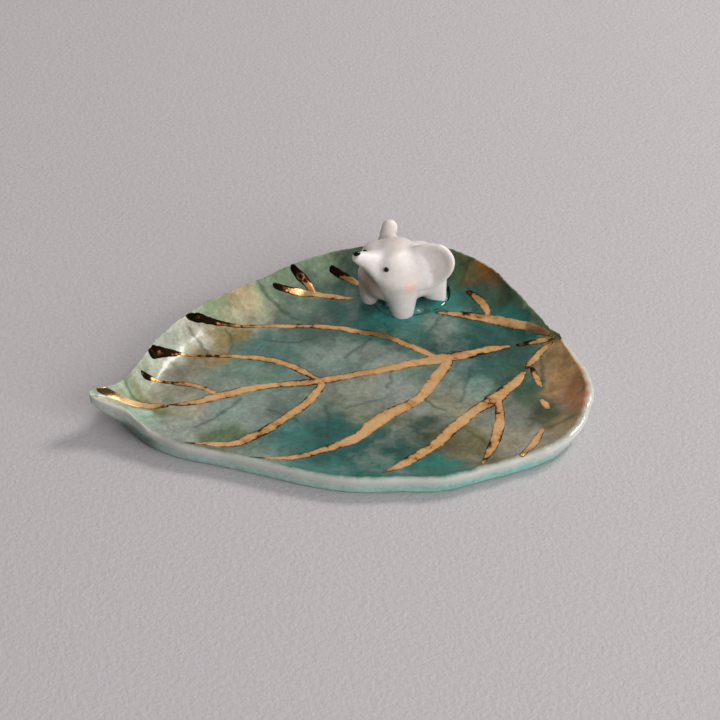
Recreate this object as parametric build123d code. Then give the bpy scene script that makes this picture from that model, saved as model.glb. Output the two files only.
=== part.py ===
from build123d import *
from math import cos, radians, sin
import os

# Leaf-shaped porcelain ring dish with gilded veins and a small standing animal on its floor.
# A rolled slab was cut to a real leaf's outline and let sag over a form, so the floor is flat,
# the rim is turned up, and the leaf's tip lifts clear of the table.
# Frame: +X runs from the leaf's tip to its stalk end, +Y to the far lobe, +Z up from the table.
# The origin is under the middle of the leaf. All sizes are in millimetres.

# Driving dimensions of the slab
leaf_length = 114.0
leaf_width = 90.0
floor_thickness = 3.2
rim_height = 9.2
lip_width = 1.8
far_wall_run = 4.8
near_wall_run = 2.4
lip_round = 0.5

# The thick glaze under the animal's feet, and the gold painted over the veins
pool_thickness = 0.4
pool_margin = 2.2
lustre_thickness = 0.14
stroke_width = 2.6

# Driving dimensions of the animal, which stands on the floor near the far wall
torso_length = 17.2
torso_width = 12.4
torso_height = 13.2
torso_centre_height = 9.8
head_length = 20.0
head_radius = 6.3
head_tilt_degrees = 21.7
ear_radius = 6.8
ear_thickness = 1.2
ear_cup = 1.7
ear_stand_off = 1.3
ear_set_back = 3.6
ear_drop = 0.8
ear_turn_degrees = 45.0
ear_lift_degrees = 11.5
leg_foot_radius = 2.5
leg_ankle_radius = 2.25
leg_thigh_radius = 3.1
leg_spread = 5.0
front_leg_reach = 6.4
back_leg_reach = 5.0
eye_radius = 0.65
nose_radius = 0.85
figure_turn_degrees = 201.8

# Where the animal stands, as shares of the half length and half width
figure_place_shares = (0.473, 0.621)

half_length = leaf_length / 2
half_width = leaf_width / 2
rim_rise = rim_height - floor_thickness

# The rim on the far side, from the stalk end to the tip: x and y as shares of the half length and
# half width, height above the floor as a share of rim_rise, and the foot's inset from the rim as a
# share of rim_height.
far_rim_shares = [
    (0.982, 0.022, 0.39, 0.20),
    (0.956, 0.122, 0.51, 0.30),
    (0.923, 0.278, 0.69, 0.40),
    (0.888, 0.433, 0.88, 0.48),
    (0.842, 0.600, 1.00, 0.52),
    (0.758, 0.778, 1.00, 0.54),
    (0.640, 0.911, 0.98, 0.54),
    (0.482, 0.984, 0.97, 0.54),
    (0.316, 1.000, 0.97, 0.54),
    (0.167, 0.987, 0.97, 0.54),
    (0.018, 0.929, 0.97, 0.54),
    (-0.140, 0.836, 0.97, 0.54),
    (-0.298, 0.756, 0.97, 0.54),
    (-0.447, 0.662, 0.97, 0.54),
    (-0.579, 0.529, 0.97, 0.54),
    (-0.693, 0.373, 0.98, 0.50),
    (-0.779, 0.198, 1.03, 0.40),
    (-0.874, 0.049, 1.14, 0.24),
    (-1.000, -0.009, 1.26, 0.08),
]

# The rim on the near side, in the same order and the same shares
near_rim_shares = [
    (0.982, -0.058, 0.39, 0.20),
    (0.993, -0.156, 0.57, 0.30),
    (1.000, -0.311, 0.69, 0.36),
    (0.996, -0.478, 0.69, 0.34),
    (0.951, -0.644, 0.57, 0.28),
    (0.860, -0.796, 0.43, 0.20),
    (0.737, -0.902, 0.36, 0.17),
    (0.579, -0.951, 0.33, 0.16),
    (0.421, -0.976, 0.31, 0.16),
    (0.254, -1.000, 0.30, 0.16),
    (0.088, -0.947, 0.30, 0.16),
    (-0.088, -0.893, 0.30, 0.16),
    (-0.246, -0.791, 0.30, 0.16),
    (-0.395, -0.658, 0.30, 0.16),
    (-0.544, -0.529, 0.31, 0.16),
    (-0.693, -0.418, 0.36, 0.18),
    (-0.800, -0.289, 0.51, 0.22),
    (-0.874, -0.147, 0.83, 0.20),
    (-1.000, -0.071, 1.23, 0.08),
]

# The midrib where each line from rim to rim crosses it: x and y shares as above
midrib_shares = [
    (0.982, -0.018),
    (0.921, -0.013),
    (0.825, -0.013),
    (0.719, -0.011),
    (0.614, -0.009),
    (0.500, -0.007),
    (0.386, -0.004),
    (0.272, -0.004),
    (0.158, -0.004),
    (0.044, -0.004),
    (-0.079, -0.004),
    (-0.202, -0.007),
    (-0.325, -0.009),
    (-0.456, -0.011),
    (-0.588, -0.013),
    (-0.711, -0.018),
    (-0.807, -0.027),
    (-0.895, -0.036),
    (-1.000, -0.040),
]

# The lines from rim to rim that the flat floor and the foot reach, counted from the stalk end
floor_lines = slice(2, 17)
foot_lines = slice(1, 18)

# What the lip, the wall and the foot may take of a narrow line
lip_limit_share = 0.35
lip_round_share = 0.25
wall_limit_share = 0.30
foot_limit_share = 0.60

# The gold strokes in the order of painting: x and y shares of the half length and half width,
# and the width there as a share of stroke_width.
gold_stroke_shares = {
    "gold_midrib": [
        (0.775, 0.015, 0.5),
        (0.685, 0.020, 1.3),
        (0.515, 0.005, 1.3),
        (0.355, 0.005, 1.2),
        (0.175, -0.010, 1.0),
        (-0.070, -0.020, 1.1),
        (-0.200, 0.000, 1.0),
        (-0.330, 0.010, 1.0),
        (-0.470, -0.010, 1.0),
        (-0.580, -0.030, 0.8),
        (-0.685, -0.020, 0.4),
    ],
    "gold_midrib_stalk": [(0.960, -0.008, 0.6), (0.885, 0.010, 0.8), (0.795, 0.015, 0.5)],
    "gold_midrib_tip": [
        (-0.710, -0.020, 0.4),
        (-0.765, -0.015, 0.9),
        (-0.810, 0.000, 0.9),
        (-0.855, 0.005, 0.8),
        (-0.905, -0.005, 0.7),
        (-0.960, -0.020, 0.5),
    ],
    "gold_far_vein_1": [
        (0.950, 0.022, 0.5),
        (0.905, 0.085, 0.9),
        (0.850, 0.150, 1.0),
        (0.745, 0.275, 1.1),
        (0.655, 0.360, 1.1),
        (0.540, 0.425, 0.4),
    ],
    "gold_far_vein_1_fork": [(0.750, 0.280, 0.6), (0.750, 0.380, 0.8), (0.740, 0.450, 0.7), (0.710, 0.540, 0.3)],
    "gold_far_vein_1_end": [
        (0.230, 0.668, 0.3),
        (0.155, 0.710, 0.9),
        (0.085, 0.755, 0.9),
        (-0.020, 0.785, 0.8),
        (-0.105, 0.800, 0.5),
    ],
    "gold_far_wall_stroke_1": [(0.070, 0.770, 0.6), (0.058, 0.830, 0.9), (0.025, 0.865, 1.0), (0.000, 0.885, 0.6)],
    "gold_far_wall_stroke_2": [(0.290, 0.765, 0.4), (0.230, 0.850, 0.9), (0.170, 0.895, 0.7)],
    "gold_near_vein_1_stalk": [(0.945, -0.035, 0.5), (0.890, -0.070, 0.9), (0.830, -0.130, 0.5)],
    "gold_near_vein_1": [
        (0.775, -0.210, 0.5),
        (0.720, -0.285, 1.0),
        (0.600, -0.395, 1.3),
        (0.470, -0.490, 1.1),
        (0.280, -0.680, 1.1),
        (0.145, -0.775, 1.0),
        (0.025, -0.835, 0.4),
    ],
    "gold_near_vein_1_fork": [
        (0.600, -0.395, 0.8),
        (0.590, -0.505, 0.8),
        (0.525, -0.700, 0.9),
        (0.410, -0.915, 0.4),
    ],
    "gold_dash_1": [(0.810, -0.190, 0.3), (0.805, -0.280, 0.4), (0.800, -0.370, 0.2)],
    "gold_dash_2": [(0.775, -0.465, 0.4), (0.780, -0.510, 0.7), (0.780, -0.555, 0.4)],
    "gold_dash_3": [(0.720, -0.700, 0.4), (0.640, -0.830, 0.9), (0.565, -0.920, 0.5)],
    "gold_far_vein_2": [
        (0.445, 0.010, 0.9),
        (0.365, 0.160, 0.8),
        (0.285, 0.280, 0.8),
        (0.205, 0.345, 0.8),
        (0.070, 0.440, 0.7),
        (-0.150, 0.525, 0.6),
        (-0.355, 0.585, 0.7),
        (-0.435, 0.585, 1.0),
        (-0.515, 0.570, 0.7),
    ],
    "gold_near_vein_2": [
        (0.500, -0.010, 1.2),
        (0.400, -0.160, 1.1),
        (0.290, -0.305, 1.1),
        (0.115, -0.410, 1.4),
        (-0.015, -0.530, 1.1),
        (-0.180, -0.585, 0.8),
        (-0.285, -0.595, 0.7),
        (-0.450, -0.570, 0.3),
    ],
    "gold_far_vein_3": [
        (-0.060, -0.010, 0.8),
        (-0.145, 0.145, 0.7),
        (-0.245, 0.245, 0.8),
        (-0.375, 0.315, 0.6),
        (-0.565, 0.385, 0.5),
        (-0.645, 0.360, 0.9),
        (-0.715, 0.290, 0.8),
    ],
    "gold_near_vein_3": [
        (-0.045, -0.030, 0.8),
        (-0.130, -0.165, 0.9),
        (-0.255, -0.280, 0.9),
        (-0.370, -0.365, 1.0),
        (-0.485, -0.415, 0.9),
        (-0.600, -0.385, 0.7),
        (-0.675, -0.370, 0.3),
    ],
    "gold_far_vein_4": [
        (-0.480, 0.000, 0.6),
        (-0.530, 0.080, 0.6),
        (-0.595, 0.135, 0.6),
        (-0.705, 0.215, 0.5),
        (-0.755, 0.190, 0.8),
    ],
}

# The head from the nose to the back of the skull: shares of head_length and of head_radius
head_profile_shares = [
    (0.000, 0.00),
    (0.015, 0.11),
    (0.060, 0.19),
    (0.200, 0.38),
    (0.360, 0.67),
    (0.520, 0.90),
    (0.690, 1.00),
    (0.850, 0.84),
    (0.960, 0.45),
    (1.000, 0.00),
]

# The eyes sit on the ring of the head's profile that has this number, below its widest point
eye_ring = 4
eye_droop_degrees = 14.0

# How far the nose stands over the snout's end, as a share of its own radius
nose_up_share = 0.5
quarter_turn_degrees = 90.0

# Where the head's widest ring sits over the torso, as shares of the torso's length and height
head_seat_shares = (0.256, 0.235)

# An ear's hollow half way out, as a share of its depth
ear_bowl_share = 0.72

# The ankle's height, as a share of the torso's centre height
ankle_share = 0.16


def plan(share):
    """Point in plan from its shares of the half length and half width."""
    return Vector(share[0] * half_length, share[1] * half_width)


def half_of(line):
    """Half the distance from rim to rim on one line across the leaf."""
    return (plan(line[0]) - plan(line[2])).length / 2


def rim_of(line, side):
    """Shares of the rim at one end of a line: side is 1 for the far rim and -1 for the near one."""
    return line[0] if side > 0 else line[2]


def rim_top(line, side):
    """Height of the lip above the table at one end of a line."""
    return floor_thickness + rim_rise * rim_of(line, side)[2]


def lip_in(line):
    """Width of the lip: narrower on the short lines at the leaf's two ends."""
    return min(lip_width, half_of(line) * lip_limit_share)


def floor_in(line, side):
    """Distance from the rim in to the flat floor."""
    run = far_wall_run if side > 0 else near_wall_run
    return lip_in(line) + min(run, half_of(line) * wall_limit_share)


def foot_in(line, side):
    """Distance from the rim in to the foot on the table."""
    return min(rim_of(line, side)[3] * rim_height, half_of(line) * foot_limit_share)


def at(line, side, distance, z):
    """Point on a line across the leaf, this far in from one rim and this high."""
    far, mid, near = [plan(share) for share in line]
    c = side * (1 - distance / half_of(line))
    point = mid + (far - near) * (c / 2) + ((far + near) / 2 - mid) * c**2
    return Vector(point.X, point.Y, z)


def ring(chosen, place):
    """Edges round the leaf through the points that place gives on the chosen lines."""
    far = [place(line, 1) for line in chosen]
    near = [place(line, -1) for line in chosen]
    return band_edges(far, near)


def band_edges(left, right):
    """Edges round the band between two smooth lines of points that run the same way."""
    return [
        Edge.make_spline(left),
        Edge.make_line(left[-1], right[-1]),
        Edge.make_spline(right[::-1]),
        Edge.make_line(right[0], left[0]),
    ]


def lip_ring(inset, drop):
    """Ring on the lip: inset gives the distance in from the rim, drop is the depth below its top."""
    return ring(lines, lambda line, side: at(line, side, inset(line), rim_top(line, side) - drop))


def make_leaf():
    """The leaf's faces: the foot, the strips from ring to ring up and over the lip, and the floor."""
    foot = ring(lines[foot_lines], lambda line, side: at(line, side, foot_in(line, side), 0))
    floor = ring(lines[floor_lines], lambda line, side: at(line, side, floor_in(line, side), floor_thickness))
    rings = [
        foot,
        lip_ring(lambda line: 0, lip_round),
        lip_ring(lambda line: lip_in(line) * lip_round_share, 0),
        lip_ring(lambda line: lip_in(line) * (1 - lip_round_share), 0),
        lip_ring(lip_in, lip_round),
        floor,
    ]
    strips = [
        Face.make_surface_from_curves(low, high)
        for lower, upper in zip(rings, rings[1:])
        for low, high in zip(lower, upper)
    ]
    return [Face(Wire(foot))] + strips + [Face(Wire(floor))]


def stroke_face(stroke_shares):
    """Plan outline of one brush stroke."""
    points = [plan(share) for share in stroke_shares]
    left, right = [], []
    for i, point in enumerate(points):
        along = points[min(i + 1, len(points) - 1)] - points[max(i - 1, 0)]
        reach = Vector(-along.Y, along.X).normalized() * (stroke_shares[i][2] * stroke_width / 2)
        left.append(point + reach)
        right.append(point - reach)
    return Face(Wire(band_edges(left, right)))


def skin(outline, surfaces, thickness):
    """Coat of even thickness on every surface that a plan outline lies over, as one solid."""
    column = extrude(outline, rim_height * 2, dir=(0, 0, 1))
    coat = None
    for surface in surfaces:
        covered = surface & column
        if covered and covered.area > thickness**2:
            layer = extrude(covered, thickness, dir=(0, 0, 1))
            coat = layer if coat is None else coat + layer
    return coat


def spun(points, plane):
    """Solid of revolution about the x axis of a plane, from its profile in that plane's x and y."""
    profile = Face(Wire([Edge.make_spline(points), Edge.make_line(points[-1], points[0])]))
    return plane.location * revolve(profile, Axis.X)


def make_torso():
    """The animal's egg-shaped body."""
    body = scale(Sphere(1), by=(torso_length / 2, torso_width / 2, torso_height / 2))
    return body.moved(Location((0, 0, torso_centre_height)))


def head_seat():
    """Centre of the head's widest ring, over the shoulders."""
    along, up = head_seat_shares
    return Vector(torso_length * along, 0, torso_centre_height + torso_height * up)


def head_plane():
    """Plane whose origin is the nose's tip and whose x axis runs back into the head."""
    tilt = radians(head_tilt_degrees)
    back = Vector(-cos(tilt), 0, -sin(tilt))
    widest = max(head_profile_shares, key=lambda ring: ring[1])
    return Plane(origin=head_seat() - back * (head_length * widest[0]), x_dir=back, z_dir=(0, 1, 0))


def make_head():
    """The head and its long pointed snout, which looks up and forward."""
    points = [Vector(along * head_length, out * head_radius) for along, out in head_profile_shares]
    return spun(points, head_plane())


def make_eye():
    """A bead set in the left side of the head."""
    along, out = head_profile_shares[eye_ring]
    droop = radians(eye_droop_degrees)
    plane = head_plane()
    up = Vector(-plane.x_dir.Z, 0, plane.x_dir.X)
    up = up if up.Z > 0 else up * -1
    reach = out * head_radius
    centre = plane.origin + plane.x_dir * (along * head_length)
    centre = centre + Vector(0, reach * cos(droop), 0) - up * (reach * sin(droop))
    return Sphere(eye_radius).moved(Location(centre))


def make_nose():
    """The dark button over the end of the snout."""
    plane = head_plane()
    centre = plane.origin + Vector(0, 0, nose_radius * nose_up_share)
    return Sphere(nose_radius).moved(Location(centre, (0, 0, quarter_turn_degrees)))


def make_ear():
    """The left ear, a cupped round ear that faces forward and outward."""
    seat = head_seat()
    centre = Vector(seat.X - ear_set_back, head_radius + ear_stand_off, seat.Z - ear_drop)
    turn, lift = radians(ear_turn_degrees), radians(ear_lift_degrees)
    facing = Vector(cos(turn) * cos(lift), sin(turn) * cos(lift), sin(lift))
    rim = ear_thickness / 2
    bowl = Edge.make_three_point_arc(
        Vector(-ear_cup, 0),
        Vector(-ear_cup * ear_bowl_share, ear_radius / 2),
        Vector(0, ear_radius - rim),
    )
    edge = Edge.make_three_point_arc(
        Vector(0, ear_radius - rim), Vector(-rim, ear_radius), Vector(-ear_thickness, ear_radius - rim)
    )
    back = Edge.make_three_point_arc(
        Vector(-ear_thickness, ear_radius - rim),
        Vector(-ear_cup * ear_bowl_share - ear_thickness, ear_radius / 2),
        Vector(-ear_cup - ear_thickness, 0),
    )
    axis = Edge.make_line(Vector(-ear_cup - ear_thickness, 0), Vector(-ear_cup, 0))
    plane = Plane(origin=centre, x_dir=facing, z_dir=facing.cross(Vector(0, 0, 1)))
    return plane.location * revolve(Face(Wire([bowl, edge, back, axis])), Axis.X)


def make_leg(reach):
    """A stumpy left leg from the dish's floor up into the torso."""
    points = [
        Vector(0, leg_foot_radius),
        Vector(torso_centre_height * ankle_share, leg_ankle_radius),
        Vector(torso_centre_height, leg_thigh_radius),
    ]
    top, bottom = Vector(torso_centre_height, 0), Vector(0, 0)
    outline = [
        Edge.make_spline(points),
        Edge.make_line(points[-1], top),
        Edge.make_line(top, bottom),
        Edge.make_line(bottom, points[0]),
    ]
    plane = Plane(origin=(reach, leg_spread, 0), x_dir=(0, 0, 1), z_dir=(0, -1, 0))
    return plane.location * revolve(Face(Wire(outline)), Axis.X)


lines = list(zip(far_rim_shares, midrib_shares, near_rim_shares))
leaf_faces = make_leaf()
nodes = {"leaf_body": Solid(Shell(leaf_faces))}

figure_at = plan(figure_place_shares)
stand = Location((figure_at.X, figure_at.Y, floor_thickness), (0, 0, figure_turn_degrees))
torso = make_torso()
skull = make_head()
nodes["torso"] = stand * torso
nose = make_nose()
nodes["head"] = stand * (skull - torso - nose)
nodes["nose"] = stand * nose

ear = make_ear() - [skull, torso]
left_side = {
    "ear": ear,
    "eye": make_eye() - skull,
    "leg_front": make_leg(front_leg_reach) - [torso, skull, ear],
    "leg_back": make_leg(-back_leg_reach) - [torso, skull, ear],
}
for name, shape in left_side.items():
    nodes[name + "_left"] = stand * shape
    nodes[name + "_right"] = stand * mirror(shape, about=Plane.XZ)
nodes["leg_back_right"] = nodes["leg_back_right"] - nodes["leaf_body"]

pool_outline = Ellipse(
    front_leg_reach + leg_foot_radius + pool_margin, leg_spread + leg_foot_radius + pool_margin / 2
)
legs = [shape for name, shape in nodes.items() if name.startswith("leg_")]
nodes["glaze_pool"] = stand * extrude(pool_outline, pool_thickness) - [*legs, nodes["leaf_body"]]

top_surfaces = leaf_faces[-5:]
bare = Face(Wire(ring(lines, lambda line, side: at(line, side, lip_in(line), 0)))) - pool_outline.moved(
    Location((figure_at.X, figure_at.Y, 0), (0, 0, figure_turn_degrees))
)
for name, stroke_shares in gold_stroke_shares.items():
    brush = stroke_face(stroke_shares)
    nodes[name] = skin(bare & brush, top_surfaces, lustre_thickness)
    bare = bare - brush

os.makedirs("parts", exist_ok=True)
for name, shape in nodes.items():
    assert shape.is_valid, name
    export_step(shape, "parts/" + name + ".step")
    print(name, len(shape.solids()), round(shape.volume, 3))
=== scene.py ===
# %% [markdown]
# # A leaf-shaped ring dish
# A broad leaf was pressed into a slab of porcelain. The slab got a turned-up rim, a glaze that pools from
# sage to turquoise and amber, and veins painted in gold. A small white animal stands on the floor by the
# far wall. The CAD model is loaded as a fixed frame in metres. Every piece below is made in that frame
# and rides on it, so the script never has to say again how large the dish is or where it stands.

# %% Load the frame
from math import cos, pi, radians, sin

import bmesh
import bpy
import numpy as np
from mathutils import Matrix, Vector, noise
from mathutils.bvhtree import BVHTree


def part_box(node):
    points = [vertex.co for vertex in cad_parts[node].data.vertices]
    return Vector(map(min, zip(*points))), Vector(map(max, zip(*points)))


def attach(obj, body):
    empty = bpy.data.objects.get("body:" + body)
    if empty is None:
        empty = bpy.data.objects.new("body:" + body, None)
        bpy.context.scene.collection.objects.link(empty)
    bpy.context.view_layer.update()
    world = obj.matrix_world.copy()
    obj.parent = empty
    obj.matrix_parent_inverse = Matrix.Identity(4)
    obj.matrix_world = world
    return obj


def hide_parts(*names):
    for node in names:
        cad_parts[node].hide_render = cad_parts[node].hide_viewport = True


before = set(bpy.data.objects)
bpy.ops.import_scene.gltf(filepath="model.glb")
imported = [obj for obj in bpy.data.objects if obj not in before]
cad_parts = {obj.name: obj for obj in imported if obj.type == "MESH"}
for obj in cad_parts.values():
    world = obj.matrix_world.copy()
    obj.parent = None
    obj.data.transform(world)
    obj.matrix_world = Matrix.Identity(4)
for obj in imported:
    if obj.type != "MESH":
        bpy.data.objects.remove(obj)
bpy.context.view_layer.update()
mm = 0.001
# vector noise would start from the clock, so it gets a seed and every run gives the same dish
noise.seed_set(7)

# %% [markdown]
# ## Small helpers
# Colours are written as sRGB hex values, as a paint chart gives them, and Blender's sockets want linear
# light, so one function turns one into the other. Node materials could be wired by hand in the editor.
# Here one helper adds a node, sets its values and links its inputs in a single line, so that a material
# reads like a recipe.

# %% Colour and node helpers
def linear(hex_colour):
    """Linear RGBA of an sRGB hex colour."""
    channels = [int(hex_colour[i : i + 2], 16) / 255 for i in (1, 3, 5)]
    return [c / 12.92 if c <= 0.04045 else ((c + 0.055) / 1.055) ** 2.4 for c in channels] + [1.0]


def new_material(name):
    """A new material, its node tree and its Principled shader."""
    material = bpy.data.materials.new(name)
    material.use_nodes = True
    tree = material.node_tree
    return material, tree, tree.nodes["Principled BSDF"]


def add(tree, kind, links=None, inputs=None, **settings):
    """A node with its settings, its plain input values and the links into it."""
    node = tree.nodes.new("ShaderNode" + kind)
    for key, value in settings.items():
        setattr(node, key, value)
    for key, value in (inputs or {}).items():
        node.inputs[key].default_value = value
    for key, socket in (links or {}).items():
        tree.links.new(socket, node.inputs[key])
    return node


def ramp(tree, factor, stops):
    """A colour ramp whose stops are (place, hex colour)."""
    node = add(tree, "ValToRGB", {"Fac": factor})
    while len(node.color_ramp.elements) < len(stops):
        node.color_ramp.elements.new(0.5)
    for element, (place, colour) in zip(node.color_ramp.elements, stops):
        element.position = place
        element.color = linear(colour)
    return node.outputs["Color"]


def cloud_noise(tree, place, scale, **inputs):
    """Noise of so many waves per metre at a place."""
    inputs = {name.capitalize(): value for name, value in inputs.items()}
    return add(tree, "TexNoise", {"Vector": place}, {"Scale": scale, **inputs}).outputs["Fac"]


def stretched(tree, value, low, high, new_low=0.0, new_high=1.0):
    """A value whose span from low to high becomes the span from new low to new high, and stays in it."""
    span = {"From Min": low, "From Max": high, "To Min": new_low, "To Max": new_high}
    return add(tree, "MapRange", {"Value": value}, span).outputs["Result"]


def arithmetic(tree, operation, first, second):
    """Two values joined by an operation. The second is a socket or a plain number."""
    if isinstance(second, (int, float)):
        return add(tree, "Math", {0: first}, {1: second}, operation=operation).outputs[0]
    return add(tree, "Math", {0: first, 1: second}, operation=operation).outputs[0]


def mixed(tree, share, colour, over):
    """A colour with a hex colour or another colour laid over it by a share."""
    if isinstance(over, str):
        return add(tree, "MixRGB", {"Fac": share, "Color1": colour}, {"Color2": linear(over)}).outputs[0]
    return add(tree, "MixRGB", {"Fac": share, "Color1": colour, "Color2": over}).outputs[0]


def bumped(tree, shader, height, strength, distance):
    """Small relief on a shader, as deep as the distance in metres."""
    bump = add(tree, "Bump", {"Height": height}, {"Strength": strength, "Distance": distance})
    tree.links.new(bump.outputs[0], shader.inputs["Normal"])


def set_shader(shader, **values):
    """Plain values on a shader's sockets. A name's underscores stand for spaces."""
    for name, value in values.items():
        shader.inputs[name.replace("_", " ")].default_value = value


# %% Mesh helpers
def finish_piece(bm, name, material, replaced):
    """Turns a bmesh in millimetres into a smooth piece that rides on the dish and stands for CAD nodes."""
    bmesh.ops.scale(bm, vec=(mm, mm, mm), verts=bm.verts)
    mesh = bpy.data.meshes.new(name)
    bm.to_mesh(mesh)
    bm.free()
    mesh.materials.append(material)
    mesh.polygons.foreach_set("use_smooth", [True] * len(mesh.polygons))
    piece = bpy.data.objects.new(name, mesh)
    bpy.context.scene.collection.objects.link(piece)
    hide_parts(*replaced)
    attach(piece, "root")
    print(name, len(mesh.polygons), "faces")
    return piece


def on_curve(rows, t):
    """The values at a fractional row number, on a smooth curve through the rows of a table."""
    last = len(rows) - 1
    i = min(int(t), last - 1)
    t -= i
    a, b, c, d = [np.array(rows[min(max(k, 0), last)]) for k in (i - 1, i, i + 1, i + 2)]
    return 0.5 * (2 * b + (c - a) * t + (2 * a - 5 * b + 4 * c - d) * t**2 + (3 * b - a - 3 * c + d) * t**3)


def eased(t):
    """0 to 1 with a soft start and end."""
    t = min(max(t, 0), 1)
    return t * t * (3 - 2 * t)


print("halfway along an eased step:", eased(0.5))

# %% [markdown]
# ## The leaf's outline
# A real leaf is never symmetrical, so its rim is read off the photograph as points on two sides, in pairs
# from the stalk end to the tip. A curve object could hold them, but rows of a table are easier to change
# one at a time. Each pair and the point of the midrib between them make one line across the leaf. Places
# are shares of the half length and half width, which keeps the outline tied to the frame's own box.

# %% Sizes of the slab, in mm
low, high = [Vector(corner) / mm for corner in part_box("leaf_body")]
half_length = (high.x - low.x) / 2
half_width = (high.y - low.y) / 2
half_size = (half_length, half_width)
floor_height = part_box("glaze_pool")[0][2] / mm
rim_rise = 6.0
slab_edge = 1.6
# the far wall is high and curls in slowly, the near one is low with a thick lip
far_side = {"lip": 0.8, "wall_run": 10.5, "lip_mark": 0.07}
near_side = {"lip": 1.3, "wall_run": 6.5, "lip_mark": 0.10}
print("half length, half width, floor:", [round(v, 2) for v in (half_length, half_width, floor_height)])

# %% The rim's two sides and the midrib
# x and y shares, the lip's height over the floor as a share of rim_rise, the foot's inset in mm
far_rim = [
    (0.982, 0.022, 0.39, 1.8), (0.956, 0.122, 0.51, 2.8), (0.923, 0.278, 0.69, 3.7),
    (0.888, 0.433, 0.88, 4.4), (0.842, 0.600, 1.00, 4.8), (0.758, 0.778, 1.00, 5.0),
    (0.640, 0.911, 0.98, 5.0), (0.482, 0.984, 0.97, 5.0), (0.316, 0.998, 0.97, 5.0),
    (0.167, 0.985, 0.97, 5.0), (0.018, 0.929, 0.97, 5.0), (-0.140, 0.836, 0.97, 5.0),
    (-0.298, 0.756, 0.97, 5.0), (-0.447, 0.662, 0.97, 5.0), (-0.579, 0.529, 0.97, 5.0),
    (-0.693, 0.373, 0.98, 4.6), (-0.779, 0.198, 1.03, 3.7), (-0.874, 0.055, 1.16, 2.2),
    (-0.998, 0.010, 1.27, 0.8),
]
near_rim = [
    (0.982, -0.058, 0.39, 1.8), (0.990, -0.156, 0.57, 2.8), (0.996, -0.311, 0.69, 3.3),
    (0.993, -0.478, 0.69, 3.1), (0.951, -0.644, 0.57, 2.6), (0.860, -0.796, 0.43, 1.8),
    (0.737, -0.902, 0.36, 1.6), (0.579, -0.951, 0.33, 1.5), (0.421, -0.976, 0.31, 1.5),
    (0.254, -0.997, 0.30, 1.5), (0.088, -0.947, 0.30, 1.5), (-0.088, -0.893, 0.30, 1.5),
    (-0.246, -0.791, 0.30, 1.5), (-0.395, -0.658, 0.30, 1.5), (-0.544, -0.529, 0.31, 1.5),
    (-0.693, -0.418, 0.36, 1.7), (-0.800, -0.289, 0.51, 2.0), (-0.874, -0.150, 0.86, 1.8),
    (-0.998, -0.070, 1.23, 0.8),
]
# x and y shares, the channel's rise over the floor as a share of rim_rise, the underside's height in mm
midrib = [
    (0.982, -0.018, 0.28, 1.6), (0.921, -0.013, 0.10, 0), (0.825, -0.013, 0.02, 0), (0.719, -0.011, 0, 0),
    (0.614, -0.009, 0, 0), (0.500, -0.007, 0, 0), (0.386, -0.004, 0, 0), (0.272, -0.004, 0, 0),
    (0.158, -0.004, 0, 0), (0.044, -0.004, 0, 0), (-0.079, -0.004, 0, 0), (-0.202, -0.007, 0, 0),
    (-0.325, -0.009, 0, 0), (-0.456, -0.011, 0, 0), (-0.588, -0.013, 0, 0), (-0.711, -0.018, 0.03, 0),
    (-0.807, -0.027, 0.18, 0), (-0.895, -0.036, 0.68, 2.8), (-0.998, -0.030, 1.16, 7.6),
]
last_line = len(midrib) - 1
print("lines across the leaf:", len(far_rim), len(near_rim), len(midrib))

# %% One line across the leaf
end_lines = 0.55
end_share = 0.22


def end_round(lines_away):
    """Share of the width left this many lines from an end, so that the slab ends in a round, not a cut."""
    t = min(lines_away / end_lines, 1)
    return end_share + (1 - end_share) * (1 - (1 - t) ** 2) ** 0.5


class LeafLine:
    """One line across the leaf, from its near rim to its far rim."""

    def __init__(self, number):
        self.far, self.mid, self.near = [on_curve(table, number) for table in (far_rim, midrib, near_rim)]
        rounding = min(end_round(last_line - number), end_round(number))
        for row in (self.far, self.near):
            row[:2] = self.mid[:2] + (row[:2] - self.mid[:2]) * rounding
        self.half = np.hypot(*((self.far[:2] - self.near[:2]) * half_size)) / 2

    def place(self, side, inset, z):
        """Point at this distance in from one rim, at this height. The line bends through the midrib."""
        c = side * (1 - inset / self.half)
        bend = (self.far[:2] + self.near[:2]) / 2 - self.mid[:2]
        x, y = (self.mid[:2] + (self.far[:2] - self.near[:2]) * c / 2 + bend * c * c) * half_size
        return Vector((x, y, z))


print("half width at the middle in mm:", round(LeafLine(last_line / 2).half, 1))

# %% [markdown]
# ## The slab as one closed skin
# The dish could be a flat plane with a Solidify modifier, but its foot is flat while its wall curves, so
# top and underside need their own shapes. Here a plain grid is wrapped round the slab like paper: each
# row of the grid runs over the floor, up the wall, over the lip, down the outside and back under the
# foot. Its two long edges then meet and are merged, and the short ends at the tip and the stalk are
# filled.

# %% How fine the grid is, and how the section runs
rows_along = 300
top_steps, lip_steps, outer_steps, foot_steps = 96, 7, 9, 5
bite_reach = 1.8
bite_drop = 0.5
lip_sink = 0.1
lip_turn = 0.55
wall_mark = 0.9
foot_lift = 0.25
foot_margin = 0.4
swell_depth = 0.16
swell_waves = 0.32


def tooth(number, side):
    """How far the torn rim is nicked in, in mm: slow waves, fine teeth on the far side and at the stalk."""
    fine = noise.noise(Vector((number * 7.0, side * 5.0, 1.0)))
    slow = noise.noise(Vector((number * 1.6, side * 5.0, 9.0)))
    step = max(noise.noise(Vector((number * 0.8, side * 3.0, 5.0))) - 0.2, 0)
    rough = 0.20 + 0.20 * eased((number - 10) / 5) if side > 0 else 0.05 + 0.10 * eased((4 - number) / 3)
    return max(0.28 + rough * fine + 0.22 * slow + 0.9 * step, 0.03)


print("nicks along the far rim in mm:", [round(tooth(k, 1), 2) for k in range(0, last_line, 4)])


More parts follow.
